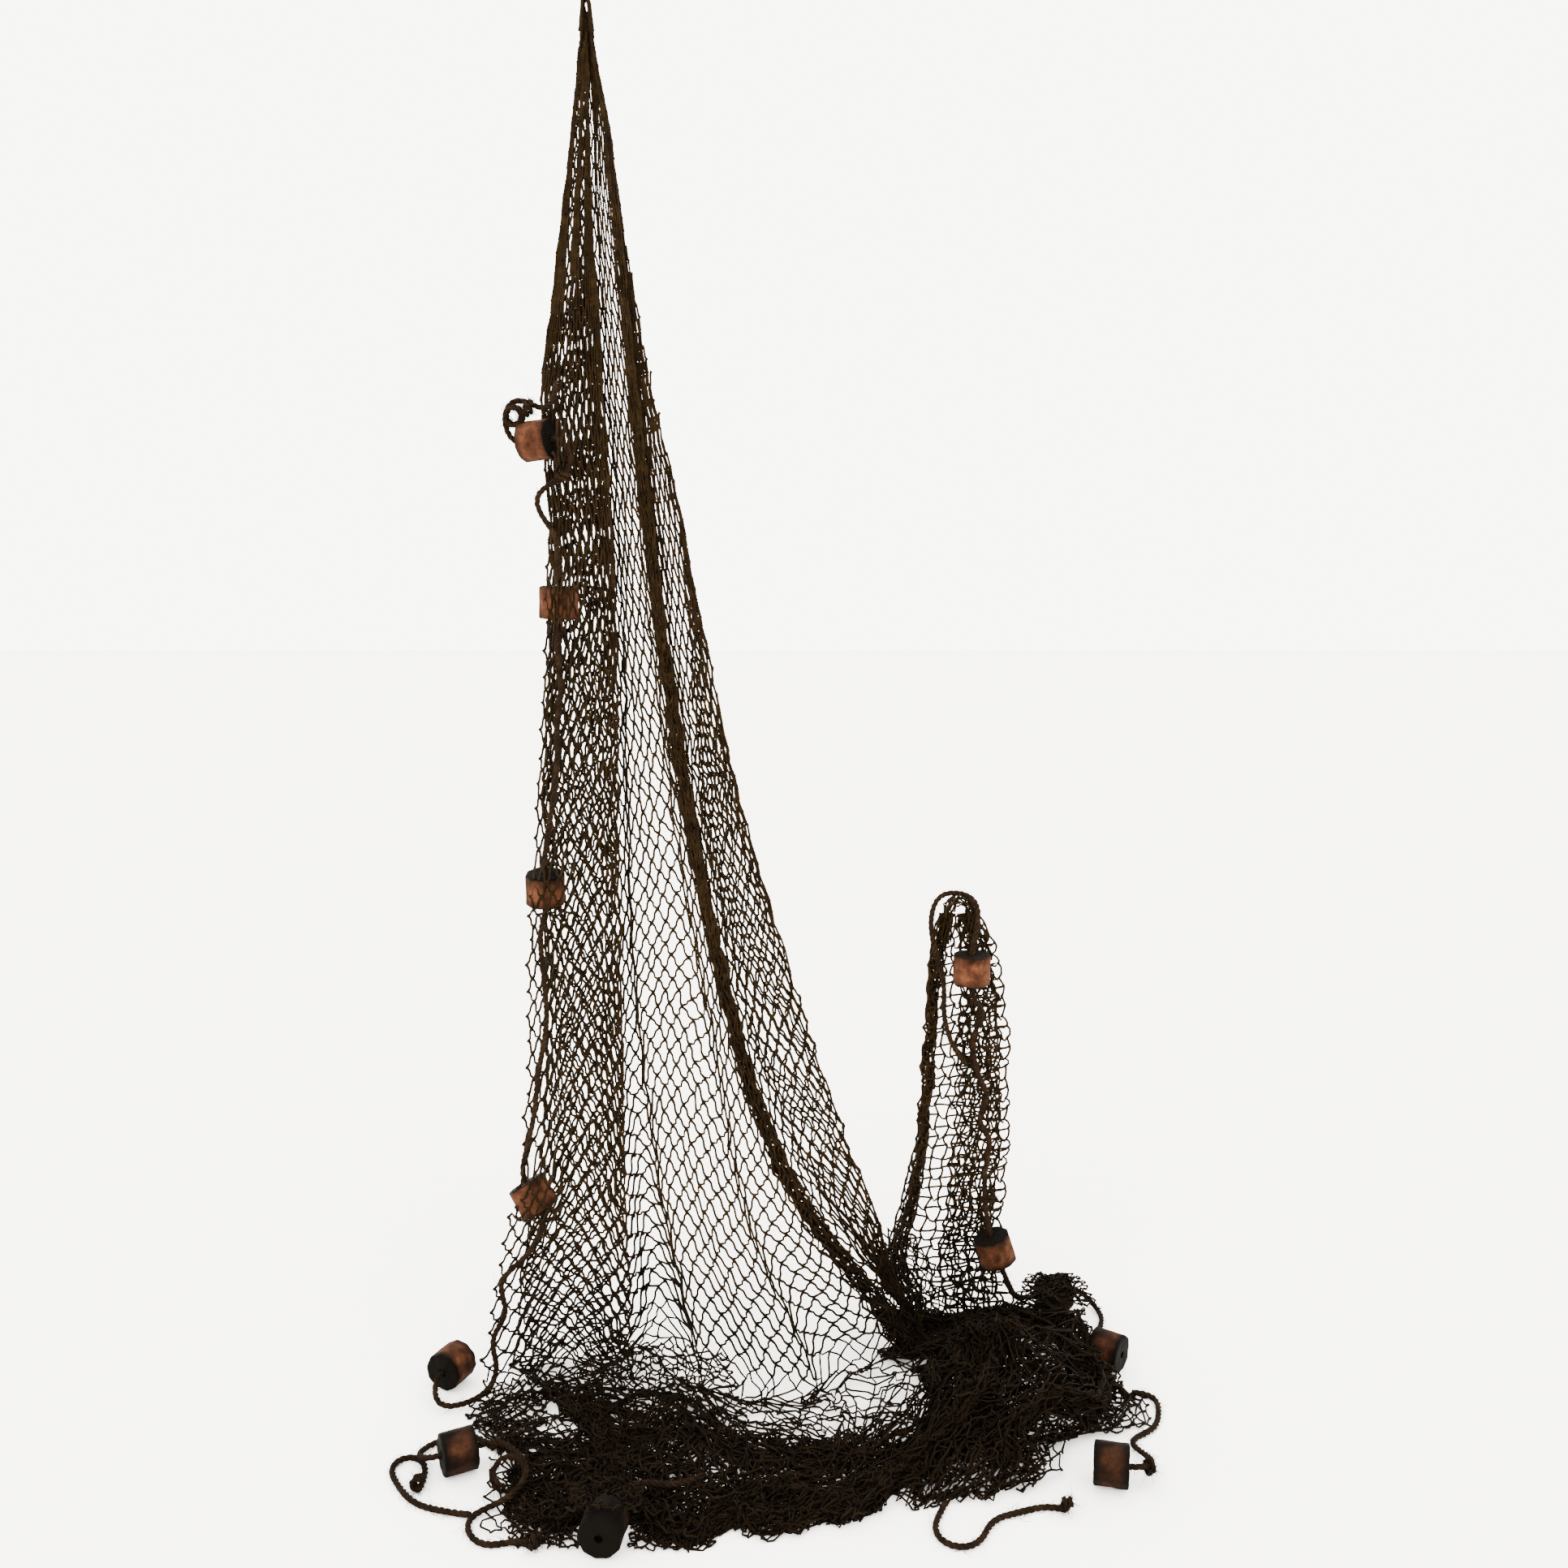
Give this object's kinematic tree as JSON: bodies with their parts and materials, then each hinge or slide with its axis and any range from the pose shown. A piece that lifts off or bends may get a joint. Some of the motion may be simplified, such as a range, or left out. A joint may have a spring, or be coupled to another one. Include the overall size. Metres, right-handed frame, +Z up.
{
  "type": "gill net",
  "caption": "Knotted gill net with a cork float line, hung by two gathered points so that it drapes in folds and its foot lies in a heap.",
  "frame": {"origin": "middle of the small eye in the gathered top of the main hang, where the first nail goes through", "axes": "+Z up, -Z the way the net falls; +X to the right as seen from the front; +Y towards the wall"},
  "size_m": [1.0715, 0.6442, 1.9835],
  "materials": {
    "tarred_twine": "matte tarred hemp twine, knotted",
    "cork": "matte red-brown stained cork",
    "coir_rope": "matte hairy coir rope, laid in three strands"
  },
  "bodies": {
    "root": {"netting": "tarred_twine", "float_01": "cork", "float_02": "cork", "float_03": "cork", "float_04": "cork", "float_05": "cork", "float_06": "cork", "float_07": "cork", "float_08": "cork", "float_09": "cork", "float_10": "cork", "float_11": "cork", "float_12": "cork", "line_01": "coir_rope", "line_02": "coir_rope", "line_03": "coir_rope", "line_04": "coir_rope", "line_05": "coir_rope", "line_06": "coir_rope", "line_07": "coir_rope", "line_08": "coir_rope", "line_09": "coir_rope", "line_10": "coir_rope", "line_11": "coir_rope", "line_12": "coir_rope", "line_13": "coir_rope", "tail_left": "coir_rope", "tail_right": "coir_rope"}
  },
  "joints": []
}
